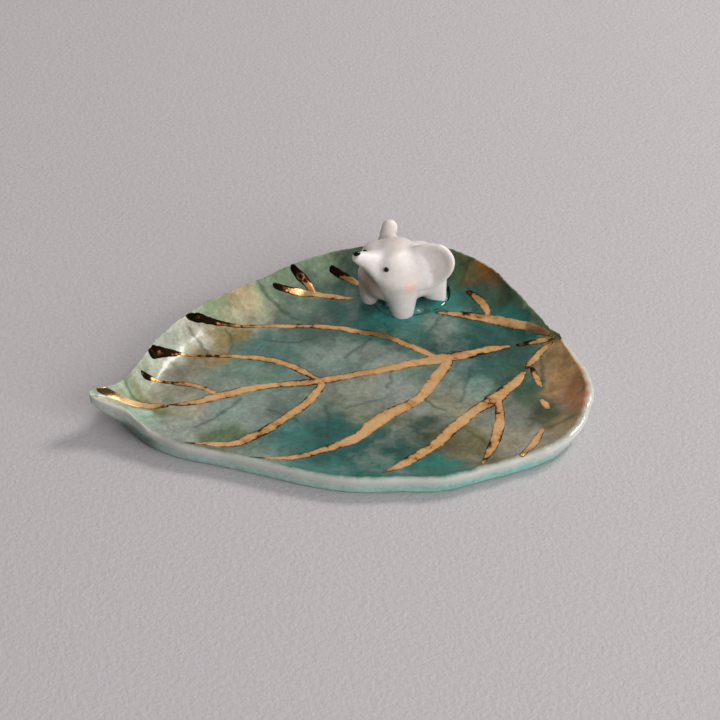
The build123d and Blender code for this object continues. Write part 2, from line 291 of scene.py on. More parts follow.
# %% The section on one side of the midrib
def half_section(line, number, side):
    """Places and marks from the middle of the floor out over one rim and back to the middle of the foot.
    The marks are (on the glazed top, how far out), the second from 0 at the midrib to 1 at the lip.
    Every width is held to a share of the line's own half, which is narrow at both ends."""
    rim = line.far if side > 0 else line.near
    kind = far_side if side > 0 else near_side
    lip = min(kind["lip"], line.half * 0.3)
    wall_run = min(kind["wall_run"], line.half * 0.9)
    nick = min(tooth(number, side), line.half * 0.2)
    foot = min(rim[3], line.half * 0.6)
    edge = slab_edge * min(1, line.half / 5)
    lip_top = floor_height + rim_rise * rim[2] - lip_sink
    channel = floor_height + rim_rise * line.mid[2]
    lip_mark = wall_mark + kind["lip_mark"]
    points = []
    # floor and wall, with the steps closer together towards the lip
    for k in range(top_steps):
        out = k / top_steps
        inset = lip + (line.half - lip) * (1 - out) ** 1.15
        wall = max(1 - (inset - lip) / wall_run, 0) ** 2
        bite = nick * max(1 - (inset - lip) / bite_reach, 0)
        z = channel + (lip_top - channel) * wall - bite_drop * bite
        points.append((inset + bite, z, 1, out * wall_mark))
    # a quarter turn over the lip
    for k in range(lip_steps):
        turn = pi / 2 * k / (lip_steps - 1)
        inset = nick + lip * (1 - sin(turn))
        z = lip_top - bite_drop * nick - edge * lip_turn * (1 - cos(turn))
        points.append((inset, z, 1 - eased(k / (lip_steps - 1)), wall_mark + kind["lip_mark"] * sin(turn)))
    # down the outside, then in under the foot to the middle
    under = max(line.mid[3], 0)
    for k in range(1, outer_steps + 1):
        t = k / outer_steps
        inset = nick + (foot - nick) * t**1.25
        points.append((inset, z + (under + foot_lift - z) * t, 0, lip_mark - 0.2 * t))
    for k in range(foot_steps):
        t = (k + 1) / foot_steps
        inset = foot + foot_margin + (line.half - foot - foot_margin) * t
        points.append((inset, under, 0, 0.5 * (1 - t)))
    return [(line.place(side, inset, z), top, out) for inset, z, top, out in points]


print("points on one half section:", len(half_section(LeafLine(9), 9, 1)))


# %% Wrap the grid round the slab
def make_slab():
    """The grid, wrapped, merged and closed, with the marks of every vertex."""
    around = 2 * (top_steps + lip_steps + outer_steps + foot_steps) - 1
    bm = bmesh.new()
    bmesh.ops.create_grid(bm, x_segments=rows_along, y_segments=around, size=1)
    top_mark = bm.verts.layers.float.new("glazed_top")
    out_mark = bm.verts.layers.float.new("how_far_out")
    verts = sorted(bm.verts, key=lambda v: (round(v.co.x, 5), round(v.co.y, 5)))
    for i in range(rows_along + 1):
        number = last_line * i / rows_along
        line = LeafLine(number)
        far = half_section(line, number, 1)
        near = half_section(line, number, -1)
        loop = list(reversed(near)) + far[1:] + [near[-1]]
        row = verts[i * (around + 1) : (i + 1) * (around + 1)]
        for v, (place, top, out) in zip(row, loop):
            v.co = place + Vector((0, 0, swell_depth * top * noise.noise(place * swell_waves)))
            v[top_mark] = top
            v[out_mark] = out
    bmesh.ops.remove_doubles(bm, verts=bm.verts, dist=0.002)
    ends = [edge for edge in bm.edges if edge.is_boundary]
    bmesh.ops.edgeloop_fill(bm, edges=ends)
    bmesh.ops.recalc_face_normals(bm, faces=bm.faces)
    print("open edges:", sum(edge.is_boundary for edge in bm.edges), "around:", around)
    return bm


slab = make_slab()

# %% [markdown]
# ## Where each colour of the glaze lies
# A reactive glaze runs and pools in the kiln, so its colours are soft patches, not a pattern. A texture
# could be painted by hand, but a few patches, each with a place, a size and a colour, are easier to
# change. Every vertex mixes the patches around it, and a little noise moves the places so that no patch
# is a clean circle.

# %% Patches of glaze: x and y shares, radius in mm, colour
glaze_patches = [
    (-0.95, -0.02, 4, "#aab3a4"), (-0.90, 0.04, 3, "#a3ae9b"), (-0.86, -0.13, 4, "#a6b7aa"),
    (-0.80, -0.15, 4, "#9db3a2"), (-0.85, 0.06, 3, "#87937c"), (-0.73, 0.16, 5, "#a3a898"),
    (-0.78, 0.02, 3, "#6b6f4c"), (-0.69, 0.06, 5, "#94907c"), (-0.73, -0.10, 3, "#5f6238"),
    (-0.62, -0.05, 5, "#989482"), (-0.57, 0.42, 5, "#a3a699"), (-0.47, 0.52, 5, "#a9a698"),
    (-0.46, 0.36, 5, "#8a7448"), (-0.38, 0.48, 5, "#857650"), (-0.37, 0.68, 5, "#88967a"),
    (-0.27, 0.75, 6, "#b3a283"), (-0.20, 0.66, 5, "#969880"), (-0.15, 0.78, 5, "#72836a"),
    (-0.04, 0.86, 5, "#6c7c66"), (0.04, 0.92, 4, "#82937c"), (0.17, 0.89, 5, "#879680"),
    (0.03, 0.72, 7, "#68786a"), (0.15, 0.70, 6, "#3f5c52"), (0.26, 0.80, 5, "#2f4f45"),
    (-0.05, 0.45, 8, "#596e62"), (-0.21, 0.32, 7, "#527068"), (-0.36, 0.14, 6, "#637a6a"),
    (-0.48, 0.10, 6, "#7b857a"), (-0.57, 0.18, 5, "#85826f"), (-0.62, -0.20, 6, "#8d9389"),
    (-0.45, -0.14, 6, "#7b8a80"), (-0.50, -0.34, 5, "#5d7055"), (-0.37, -0.25, 6, "#838f84"),
    (-0.26, -0.44, 8, "#3b6861"), (-0.11, -0.55, 8, "#27554f"), (-0.13, -0.18, 7, "#69786d"),
    (0.00, 0.06, 7, "#6e7d74"), (0.06, -0.12, 6, "#7b7f70"), (0.20, 0.14, 5, "#78837a"),
    (0.22, -0.28, 7, "#7d847a"), (0.14, -0.42, 6, "#59614a"), (0.07, -0.64, 8, "#214840"),
    (0.25, -0.60, 6, "#2c463a"), (0.31, -0.64, 5, "#565035"), (0.40, -0.76, 6, "#686346"),
    (0.42, -0.36, 6, "#807f6b"), (0.42, -0.12, 6, "#607163"), (0.56, -0.12, 6, "#365f58"),
    (0.56, -0.30, 5, "#6f867b"), (0.66, 0.18, 10, "#1f4c45"), (0.53, 0.28, 5, "#7f8d84"),
    (0.36, 0.30, 7, "#3d6258"), (0.72, 0.00, 6, "#2a4d43"), (0.74, -0.28, 6, "#2f4c3c"),
    (0.62, -0.50, 6, "#6e7266"), (0.73, -0.46, 4, "#45553f"), (0.78, -0.58, 4, "#34422c"),
    (0.85, -0.48, 5, "#696149"), (0.88, -0.24, 4, "#6b6046"), (0.94, -0.26, 6, "#c09a6c"),
    (0.95, -0.42, 6, "#bd9062"), (0.90, -0.54, 5, "#a5602a"), (0.83, -0.72, 6, "#8a7650"),
    (0.68, -0.80, 6, "#8e897a"), (0.57, -0.72, 5, "#8c8672"), (0.86, 0.58, 7, "#8c5210"),
    (0.81, 0.66, 4, "#80642f"), (0.76, 0.68, 4, "#52603c"), (0.70, 0.66, 5, "#47604a"),
    (0.77, 0.48, 5, "#30584c"), (0.87, 0.41, 4, "#2c4226"), (0.92, 0.33, 3, "#87987a"),
    (0.94, 0.14, 3, "#7d8a6c"), (0.79, 0.26, 5, "#2f655b"), (0.62, 0.50, 6, "#376f66"),
    (0.36, 0.42, 6, "#4f928c"), (0.22, 0.55, 6, "#38635a"), (0.49, 0.84, 6, "#4d6b5a"),
    (0.60, 0.78, 5, "#586b4c"), (0.23, -0.84, 6, "#2f6a60"), (0.03, -0.80, 6, "#2b645c"),
    (-0.20, -0.72, 6, "#3c6f66"), (-0.38, -0.56, 6, "#77877b"), (0.97, -0.02, 3, "#6d6a4c"),
]
patch_colours = np.array([linear(colour)[:3] for *_, colour in glaze_patches])
patch_places = np.array([(x, y) for x, y, *_ in glaze_patches]) * half_size
patch_radii = np.array([radius for _, _, radius, _ in glaze_patches])
outside_sage, outside_turquoise, tip_shade_green = [
    np.array(linear(colour)[:3]) for colour in ("#b7bfb6", "#84bfb0", "#3a5f49")
]
print("patches of glaze:", len(glaze_patches))

# %% The glaze's colour at one place
patch_sharpness = 2.2
richness = 1.15
# how the places wander: waves per mm and reach in mm
drifts = [(0.15, 3.2), (0.5, 1.8)]


def glaze_colour(place, top):
    """The patches on top, turquoise that ran down the outside to the foot, and painted shade in dark green
    under the raised tip.
    """
    drift = sum((noise.noise_vector(place * waves) * reach for waves, reach in drifts), Vector((0, 0, 0)))
    gaps = np.hypot(*(patch_places - (place.x + drift.x, place.y + drift.y)).T) / patch_radii
    weights = np.exp(-patch_sharpness * gaps**2) + 1e-6
    inside = (patch_colours * weights[:, None]).sum(axis=0) / weights.sum()
    inside = np.maximum(inside.mean() + (inside - inside.mean()) * richness, 0.004)
    along = 0.45 + 0.45 * eased((place.x + 12) / 30) - 0.6 * eased((place.x - 38) / 12)
    run = eased(1.2 - place.z / 5.2) * along
    outside = outside_sage * (1 - run) + outside_turquoise * run
    # painted shade: dark green low on the outside, under the raised tip
    tip = 0.8 * eased(1.4 - abs(place.x + half_length * 0.84) / 4) * eased((5.2 - place.z) / 2)
    outside = outside * (1 - tip) + tip_shade_green * tip
    return inside * top + outside * (1 - top)


print("colour at the middle:", [round(c, 3) for c in glaze_colour(Vector((0, 0, floor_height)), 1)])

# %% [markdown]
# ## The pressed leaf's veins
# A real leaf was rolled into the clay, and its thin veins hold a line of darker glass. They could be cut
# into the mesh, but they are under a tenth of a millimetre deep, so each vertex only keeps how near it is
# to a vein, and the glaze's material darkens there.

# %% Thin veins: width in mm, then places as x and y shares
pressed_veins = [
    (0.45, [(-0.19, 0.83), (-0.11, 0.71), (-0.04, 0.55)]),
    (0.50, [(-0.51, 0.52), (-0.48, 0.45), (-0.46, 0.36)]),
    (0.50, [(-0.40, -0.06), (-0.49, -0.16), (-0.61, -0.24)]),
    (0.55, [(-0.85, 0.09), (-0.82, 0.04), (-0.79, -0.01)]),
    (0.40, [(0.71, 0.62), (0.75, 0.69), (0.78, 0.71)]), (0.40, [(0.74, 0.68), (0.79, 0.70), (0.83, 0.66)]),
    (1.30, [(0.84, 0.60), (0.85, 0.44), (0.88, 0.28), (0.93, 0.10)]),
    (0.40, [(0.55, -0.17), (0.49, -0.30), (0.45, -0.38)]), (0.40, [(0.26, 0.01), (0.20, -0.17)]),
    (0.45, [(0.21, -0.49), (0.23, -0.55), (0.26, -0.62)]),
    (0.35, [(-0.08, -0.23), (-0.09, -0.35), (-0.13, -0.49)]),
    (0.50, [(0.88, -0.05), (0.85, -0.21), (0.81, -0.34)]),
    (0.50, [(0.75, -0.70), (0.79, -0.70), (0.85, -0.68)]),
    (0.35, [(-0.22, 0.43), (-0.11, 0.35), (0.01, 0.36)]), (0.45, [(-0.11, 0.16), (-0.12, 0.05)]),
    (0.40, [(0.08, 0.15), (0.17, 0.22), (0.24, 0.31)]), (0.35, [(0.77, 0.17), (0.71, 0.05)]),
    (0.35, [(-0.35, 0.55), (-0.35, 0.41), (-0.38, 0.34)]),
    (0.40, [(0.48, 0.27), (0.55, 0.37), (0.59, 0.44)]),
    (0.45, [(0.56, -0.38), (0.63, -0.32), (0.72, -0.22)]),
    (0.35, [(0.31, -0.28), (0.34, -0.37), (0.38, -0.43)]),
    (0.35, [(0.01, -0.28), (0.09, -0.26), (0.18, -0.25)]),
    (0.35, [(-0.31, -0.19), (-0.25, -0.25), (-0.20, -0.32)]),
    (0.35, [(0.43, -0.63), (0.47, -0.71), (0.48, -0.80)]),
]
vein_parts = [
    (np.array(a) * half_size, np.array(b) * half_size, width)
    for width, path in pressed_veins
    for a, b in zip(path, path[1:])
]
vein_starts = np.array([a for a, _, _ in vein_parts])
vein_ways = np.array([b - a for a, b, _ in vein_parts])
vein_widths = np.array([width for _, _, width in vein_parts])
print("veins and their straight parts:", len(pressed_veins), len(vein_parts))


# %% Store colours and veins on the slab
def vein_mark(place):
    """1 on a pressed vein, falling to 0 beside it. The vein wanders by 0.7 mm."""
    drift = noise.noise_vector(place * 0.5) * 0.7
    away = (place.x + drift.x, place.y + drift.y) - vein_starts
    along = np.clip((away * vein_ways).sum(axis=1) / (vein_ways**2).sum(axis=1), 0, 1)
    gaps = np.hypot(*(away - vein_ways * along[:, None]).T) / vein_widths
    return float(np.exp(-(gaps.min() ** 2)))


tint_layer = slab.verts.layers.float_color.new("glaze_tint")
top_mark = slab.verts.layers.float["glazed_top"]
vein_layer = slab.verts.layers.float.new("pressed_vein")
for v in slab.verts:
    v[tint_layer] = (*glaze_colour(v.co, v[top_mark]), 1.0)
    v[vein_layer] = vein_mark(v.co) * v[top_mark] if v[top_mark] > 0 else 0
print("vertices on a vein:", sum(v[vein_layer] > 0.5 for v in slab.verts))

# %% [markdown]
# ## Reactive glaze on porcelain
# The glaze is glass about 0.3 mm thick, glossy, with an IOR of 1.45. Where it runs thin over the lip the
# white body shows, where it lies in the leaf's pressed veins it gathers into dark green lines, and it has
# fine iron specks. It could be shaded as real clear glass over clay, but that renders slowly and bakes
# badly, so the depth is faked by clouds in the colour and a little subsurface light. All of it is
# procedural, in real sizes.

# %% Glaze material: clouds in the depth of the glass
glaze, tree, shader = new_material("reactive_glaze_on_porcelain")
place = add(tree, "TexCoord").outputs["Object"]
mark_names = ("glaze_tint", "glazed_top", "how_far_out", "pressed_vein")
marks = [add(tree, "Attribute", attribute_name=name).outputs for name in mark_names]
tint = marks[0]["Color"]
on_top, how_far_out, on_vein = [mark["Fac"] for mark in marks[1:]]
wander_reach = 0.0060

# places wander by some millimetres, so that the clouds look stirred
wander = add(tree, "TexNoise", {"Vector": place}, {"Scale": 220.0, "Detail": 3.0}).outputs["Color"]
wander = add(tree, "VectorMath", {0: wander}, {1: (0.5, 0.5, 0.5)}, operation="SUBTRACT").outputs[0]
wander = add(tree, "VectorMath", {0: wander}, {"Scale": wander_reach}, operation="SCALE").outputs[0]
moved = add(tree, "VectorMath", {0: place, 1: wander}, operation="ADD").outputs[0]

# darker and lighter runs, fewer on the outside, then milky clouds and a leathery grain of half a millimetre
cloud = cloud_noise(tree, moved, 170.0, detail=7.0, roughness=0.6)
shade = stretched(tree, cloud, 0.3, 0.7, 0.62, 1.35)
clouded = add(tree, "VectorMath", {0: tint, "Scale": shade}, operation="SCALE").outputs[0]
cloud_share = stretched(tree, on_top, 0.0, 1.0, 0.25, 1.0)
clouded = mixed(tree, cloud_share, tint, clouded)
milk = cloud_noise(tree, moved, 105.0, detail=6.0, roughness=0.58)
milk = arithmetic(tree, "MULTIPLY", stretched(tree, milk, 0.52, 0.72, 0.0, 0.45), on_top)
milky = mixed(tree, milk, clouded, "#9ca298")
grain = stretched(tree, cloud_noise(tree, place, 900.0, detail=3.0, roughness=0.7), 0.3, 0.7, 0.80, 1.18)
grained = add(tree, "VectorMath", {0: milky, "Scale": grain}, operation="SCALE").outputs[0]
print("nodes of the clouds:", len(tree.nodes))

# %% Glaze material: dark lines and iron specks
# the pressed veins, and short hairs beside them that a net of thin edges gives
net = add(tree, "TexVoronoi", {"Vector": moved}, {"Scale": 190.0}, feature="DISTANCE_TO_EDGE")
hair = stretched(tree, net.outputs["Distance"], 0.0, 0.035, 0.30, 0.0)
patchy = stretched(tree, cloud_noise(tree, place, 110.0, detail=2.0), 0.55, 0.68)
hair = arithmetic(tree, "MULTIPLY", arithmetic(tree, "MULTIPLY", hair, patchy), on_top)
lines = arithmetic(tree, "MULTIPLY", on_vein, 0.62)
lines = arithmetic(tree, "MAXIMUM", lines, hair)
veined = mixed(tree, lines, grained, "#22392b")

# iron specks, about half a millimetre across
speck = add(tree, "TexVoronoi", {"Vector": place}, {"Scale": 380.0}).outputs["Distance"]
specked = mixed(tree, stretched(tree, speck, 0.03, 0.09, 0.4, 0.0), veined, "#5f4a2c")
print("nodes with lines and specks:", len(tree.nodes))

# %% Glaze material: the bare lip, gloss and ripple
# the white body breaks through on the lip in a ragged line
rag = arithmetic(tree, "MULTIPLY", cloud_noise(tree, place, 420.0, detail=3.0), 0.14)
edge = arithmetic(tree, "ADD", how_far_out, rag)
broken = mixed(tree, stretched(tree, edge, 0.97, 1.06), specked, "#bcbdb5")
tree.links.new(broken, shader.inputs["Base Color"])

# gloss that changes a little with the clouds, the kiln's fine ripple, and veins that lie a little lower
tree.links.new(stretched(tree, cloud, 0.0, 1.0, 0.10, 0.24), shader.inputs["Roughness"])
ripple = cloud_noise(tree, place, 180.0, detail=2.0)
relief = arithmetic(tree, "ADD", arithmetic(tree, "MULTIPLY", lines, -0.12), ripple)
bumped(tree, shader, relief, 0.30, 0.0004)
set_shader(shader, IOR=1.45, Specular_IOR_Level=0.30)
set_shader(shader, Subsurface_Weight=0.12, Subsurface_Radius=(1.0, 0.9, 0.7), Subsurface_Scale=0.0015)
print("nodes of the whole glaze:", len(tree.nodes))

# %% Finish the slab
surface = BVHTree.FromBMesh(slab)
finish_piece(slab, "leaf_slab", glaze, ["leaf_body"])
above_all = 60


def drop(x, y):
    """The slab's top at a place in plan, in mm, or None off the slab."""
    return surface.ray_cast(Vector((x, y, above_all)), Vector((0, 0, -1)))[0]


# %% [markdown]
# ## Gold lustre over the veins
# The gold is painted on with a fine brush and fired last. It is far thinner than a hair, but it has
# ragged edges, gaps where the brush ran dry, and it is rubbed brown where it is thin. A curve with a
# bevel would make a wire, so a stroke is a ribbon instead: a small grid is bent along the brush's path,
# its width swells and frays, and every point is dropped on to the slab.

# %% Gold material
gold, tree, shader = new_material("fired_gold_lustre")
place = add(tree, "TexCoord").outputs["Object"]
# the brush's edge mark also carries painted reflection up the wall, darker or brighter gold
thickness_and_reflection = add(tree, "Attribute", attribute_name="brush_edge_and_reflection").outputs["Fac"]
wear = cloud_noise(tree, place, 700.0, detail=5.0, roughness=0.7)
stain = stretched(tree, cloud_noise(tree, place, 130.0, detail=5.0, roughness=0.65), 0.25, 0.75)
cover_and_reflection = arithmetic(tree, "MULTIPLY", thickness_and_reflection, 0.55)
cover_and_reflection = arithmetic(tree, "SUBTRACT", cover_and_reflection, wear)
cover_and_reflection = arithmetic(tree, "ADD", cover_and_reflection, stain)
cover_and_reflection = stretched(tree, cover_and_reflection, 0.10, 0.62)
colour = ramp(tree, cover_and_reflection, [(0.0, "#24140a"), (0.22, "#6d4526"), (0.42, "#cf9a5e"), (1.0, "#f0c088")])
tree.links.new(colour, shader.inputs["Base Color"])
tree.links.new(stretched(tree, cover_and_reflection, 0.0, 1.0, 0.55, 0.27), shader.inputs["Roughness"])
bumped(tree, shader, wear, 0.30, 0.00012)
set_shader(shader, Metallic=1.0)
print("nodes of the gold:", len(tree.nodes))

# %% The brush's path for each stroke: x and y shares, width in mm
gold_paths = {
    "midrib": [
        (0.775, 0.015, 1.1), (0.70, 0.020, 2.7), (0.60, 0.010, 3.1), (0.515, 0.005, 3.4),
        (0.355, 0.005, 3.0), (0.175, -0.010, 2.4), (0.05, -0.015, 2.2), (-0.070, -0.020, 2.7),
        (-0.200, 0.000, 2.2), (-0.330, 0.010, 2.4), (-0.470, -0.010, 2.6), (-0.580, -0.030, 2.0),
        (-0.685, -0.020, 0.9),
    ],
    "midrib_stalk": [(0.960, -0.008, 1.2), (0.885, 0.010, 1.9), (0.795, 0.015, 0.9)],
    "midrib_tip": [
        (-0.685, -0.030, 0.7), (-0.735, -0.020, 1.9), (-0.785, -0.010, 2.0), (-0.860, -0.010, 1.6),
        (-0.915, -0.006, 1.5), (-0.968, -0.002, 1.1),
    ],
    "far_vein_1": [
        (0.950, 0.022, 1.0), (0.905, 0.085, 2.1), (0.850, 0.150, 2.5), (0.745, 0.275, 2.8),
        (0.655, 0.360, 2.8), (0.540, 0.425, 1.0),
    ],
    "far_vein_1_fork": [(0.750, 0.290, 1.3), (0.750, 0.380, 1.9), (0.740, 0.450, 1.9), (0.710, 0.540, 0.9)],
    "far_vein_1_end": [
        (0.230, 0.668, 0.8), (0.155, 0.710, 2.1), (0.085, 0.755, 2.0), (-0.020, 0.785, 2.0),
        (-0.105, 0.800, 1.2),
    ],
    "far_wall_stroke_1": [
        (0.070, 0.760, 1.4), (0.055, 0.825, 2.3), (0.025, 0.865, 2.4), (-0.005, 0.900, 1.4),
    ],
    "far_wall_stroke_2": [(0.290, 0.765, 0.9), (0.230, 0.850, 2.2), (0.170, 0.905, 1.6)],
    "near_vein_1_stalk": [
        (0.945, -0.035, 1.1), (0.890, -0.070, 2.0), (0.835, -0.130, 1.8), (0.800, -0.175, 1.3),
        (0.785, -0.195, 0.9),
    ],
    "near_vein_1": [
        (0.775, -0.210, 1.2), (0.720, -0.285, 2.4), (0.640, -0.360, 3.2), (0.600, -0.395, 3.7),
        (0.540, -0.440, 3.3), (0.470, -0.490, 2.8), (0.280, -0.680, 2.8), (0.145, -0.775, 2.5),
        (0.025, -0.835, 1.0),
    ],
    "near_vein_1_fork": [
        (0.600, -0.400, 2.2), (0.590, -0.505, 2.0), (0.525, -0.700, 2.5), (0.410, -0.915, 0.8),
    ],
    "dash_1": [(0.810, -0.190, 1.0), (0.805, -0.280, 1.7), (0.800, -0.370, 0.8)],
    "dash_2": [(0.775, -0.465, 1.0), (0.780, -0.510, 1.8), (0.780, -0.555, 1.0)],
    "dash_3": [(0.720, -0.700, 1.0), (0.640, -0.830, 2.2), (0.565, -0.920, 1.2)],
    "far_vein_2": [
        (0.455, 0.010, 2.0), (0.365, 0.160, 2.1), (0.285, 0.280, 2.1), (0.205, 0.345, 2.0),
        (0.070, 0.440, 1.8), (-0.150, 0.525, 1.5), (-0.330, 0.575, 1.1), (-0.400, 0.585, 1.5),
        (-0.450, 0.590, 1.9), (-0.520, 0.570, 1.3),
    ],
    "near_vein_2": [
        (0.500, -0.010, 3.0), (0.400, -0.160, 2.8), (0.290, -0.305, 2.7), (0.115, -0.410, 3.6),
        (-0.015, -0.530, 2.8), (-0.180, -0.585, 2.0), (-0.285, -0.595, 1.7), (-0.450, -0.570, 0.6),
    ],
    "far_vein_3": [
        (-0.060, -0.010, 2.0), (-0.145, 0.145, 1.9), (-0.245, 0.245, 2.0), (-0.375, 0.315, 1.3),
        (-0.555, 0.375, 0.8), (-0.610, 0.370, 1.6), (-0.670, 0.345, 1.9), (-0.715, 0.300, 1.5),
    ],
    "near_vein_3": [
        (-0.045, -0.030, 2.0), (-0.130, -0.165, 2.3), (-0.255, -0.280, 2.4), (-0.370, -0.365, 2.6),
        (-0.485, -0.415, 2.3), (-0.600, -0.385, 1.6), (-0.675, -0.370, 0.7),
    ],
    "far_vein_4": [
        (-0.480, 0.000, 1.4), (-0.530, 0.080, 1.4), (-0.595, 0.135, 1.4), (-0.690, 0.185, 0.9),
        (-0.735, 0.190, 1.5), (-0.765, 0.175, 1.1),
    ],
}
# strokes whose ends up the wall are darkened as a painted dark reflection, and strokes brightened there as a
# painted bright reflection
painted_dark_on_wall = ["far_vein_2", "far_vein_3", "far_vein_4", "far_wall_stroke_1", "far_wall_stroke_2", "far_vein_1_end"]
bright = ["midrib_tip", "midrib_stalk", "far_vein_1", "near_vein_1_stalk", "dash_1", "dash_2"]
wall_reflection_paint = {**{name: 0.85 for name in painted_dark_on_wall}, **{name: -0.8 for name in bright}}
print("strokes:", len(gold_paths), "of them burnt:", len(painted_dark_on_wall))

# %% Lay each stroke on the slab
gold_lift = 0.07
across_steps = 8
step_length = 0.35
thinnest = 0.5


def brush_spot(path, along, across, steps, seed):
    """Place in plan, width and the end's roundness at one point of a stroke, with its frayed edge."""
    t = along * (len(path) - 1)
    x, y, width = on_curve(path, t)
    ahead = on_curve(path, min(t + 0.05, len(path) - 1))
    behind = on_curve(path, max(t - 0.05, 0))
    way = Vector((*((ahead[:2] - behind[:2]) * half_size), 0)).normalized()
    round_end = (1 - (2 * along - 1) ** 16) ** 0.5
    fine = noise.noise(Vector((along * steps * 0.40, seed, across)))
    slow = noise.noise(Vector((along * steps * 0.13, seed, across * 0.6)))
    fray = 1 + 0.10 * fine + 0.20 * slow
    out = across * max(width, thinnest) / 2 * fray * round_end
    return Vector((x * half_length, y * half_width, 0)) + Vector((-way.y, way.x, 0)) * out, width, round_end


def lay_stroke(path, seed, reflection_paint):
    """A ribbon with frayed edges, bent along a path and laid on the slab, with painted reflection up the
    wall: darker, or brighter where it is negative.
    """
    start, end = [np.array(path[k][:2]) * half_size for k in (0, -1)]
    steps = max(int(np.hypot(*(end - start)) / step_length), 12)
    bm = bmesh.new()
    bmesh.ops.create_grid(bm, x_segments=steps, y_segments=across_steps, size=1)
    edge_and_reflection_mark = bm.verts.layers.float.new("brush_edge_and_reflection")
    for v in bm.verts:
        across = v.co.y
        spot, width, round_end = brush_spot(path, (v.co.x + 1) / 2, across, steps, seed)
        under = drop(spot.x, spot.y)
        z = under.z if under else floor_height
        full = (1 - 0.8 * abs(across) ** 4) * eased(round_end * 1.6) * min(max((width - 0.4) / 1.4, 0.2), 1)
        # painted reflection: the gold darkens or brightens with height up the wall
        v[edge_and_reflection_mark] = full - reflection_paint * eased((z - floor_height - 0.5) / 1.6)
        v.co = Vector((spot.x, spot.y, z + gold_lift * (0.15 + 0.85 * (1 - across**4))))
    bmesh.ops.remove_doubles(bm, verts=bm.verts, dist=0.01)
    bmesh.ops.recalc_face_normals(bm, faces=bm.faces)
    if sum(f.normal.z for f in bm.faces) < 0:
        bmesh.ops.reverse_faces(bm, faces=bm.faces)
    return bm


for number, (name, path) in enumerate(gold_paths.items()):
    stroke = lay_stroke(path, number * 7.3, wall_reflection_paint.get(name, 0))
    finish_piece(stroke, "lustre_" + name, gold, ["gold_" + name])
print("strokes laid:", len(gold_paths))

# %% [markdown]
# ## The small animal
# It was rolled from bits of clay and smoothed with a wet finger, so body, head, ears and legs run into
# one another. A sculpted mesh would hide how it is put together, so the bits are pressed together as
# eggs, tapered rolls and cupped discs. A voxel remesh melts them into one skin, and smoothing wipes over
# it, least where the edges are crisp. All places are in the animal's own frame: forward along the snout,
# left towards the near ear, and up.

# %% The animal's own frame
figure_turn = radians(201.8)
figure_origin = Vector((26.96, 27.95, floor_height))
figure_forward = Vector((cos(figure_turn), sin(figure_turn), 0))
figure_left = Vector((-figure_forward.y, figure_forward.x, 0))
figure_matrix = Matrix((figure_forward, figure_left, (0, 0, 1))).transposed().to_4x4()
figure_matrix.translation = figure_origin


def facing_turn(way):
    """The turn that points a shape's own z at a way."""
    return Vector(way).to_track_quat("Z", "Y").to_matrix().to_4x4()


def soft_mass(bm, centre, radii, facing=(0, 0, 1)):
    """An egg of clay pressed on to the animal: centre, radii and the way its third radius points."""
    turn = figure_matrix @ Matrix.Translation(centre) @ facing_turn(facing) @ Matrix.Diagonal((*radii, 1))
    bmesh.ops.create_uvsphere(bm, u_segments=32, v_segments=20, radius=1, matrix=turn)


def taper(bm, foot, top, foot_radius, top_radius):
    """A round tapered roll of clay between two places."""
    foot, top = figure_matrix @ Vector(foot), figure_matrix @ Vector(top)
    turn = facing_turn(top - foot)
    turn.translation = (foot + top) / 2
    sizes = {"radius1": foot_radius, "radius2": top_radius, "depth": (top - foot).length}
    bmesh.ops.create_cone(bm, cap_ends=True, segments=40, matrix=turn, **sizes)


print("animal's origin in mm:", [round(v, 2) for v in figure_origin])

# %% Ears, spun as shallow cups
# depth and distance out, in mm
ear_profile = [
    (-1.1, 0), (-1.0, 2.2), (-0.6, 4.2), (0.0, 5.5), (0.2, 6.2), (-0.1, 6.7), (-0.8, 6.8), (-2.0, 5.6),
    (-2.9, 3.0), (-3.2, 0),
]
# place, the way it faces, size
ears = [((0.8, 7.6, 12.1), (0.69, 0.69, 0.2), 1.0), ((2.4, -6.6, 9.0), (0.50, -0.86, 0.05), 0.82)]


def press_ear(bm, centre, facing, size):
    """A cupped disc, spun about its middle, pulled out at the top outer corner and cut back below."""
    ear = bmesh.new()
    verts = [ear.verts.new((out, 0, depth)) for depth, out in ear_profile]
    edges = [ear.edges.new(pair) for pair in zip(verts, verts[1:])]
    around = {"axis": (0, 0, 1), "cent": (0, 0, 0), "angle": 2 * pi, "steps": 72, "use_merge": True}
    bmesh.ops.spin(ear, geom=verts + edges, **around)
    turn = figure_matrix @ Matrix.Translation(centre) @ facing_turn(facing)
    outer = 1 if centre[1] > 0 else -1
    for v in ear.verts:
        way = v.co.xy.normalized() if v.co.xy.length > 0 else Vector((0, 0))
        corner = max(way.x * outer * 0.77 + way.y * 0.64, 0) ** 3
        under = max(way.x * outer * 0.6 - way.y * 0.8, 0) ** 2
        v.co.xy *= 0.98 + 0.07 * corner - 0.23 * under
        v.co = turn @ (v.co * size)
    pressed = bpy.data.meshes.new("ear")
    ear.to_mesh(pressed)
    ear.free()
    bm.from_mesh(pressed)


clay = bmesh.new()
for centre, facing, size in ears:
    press_ear(clay, centre, facing, size)
bmesh.ops.remove_doubles(clay, verts=clay.verts, dist=0.003)
bmesh.ops.recalc_face_normals(clay, faces=clay.faces)
print("faces of both ears:", len(clay.faces))

# %% Press the bits of clay together
near_plane = (0.145, 0.84, 0.52)
far_plane = (0.145, -0.84, 0.52)
upright = (0, 0, 1)
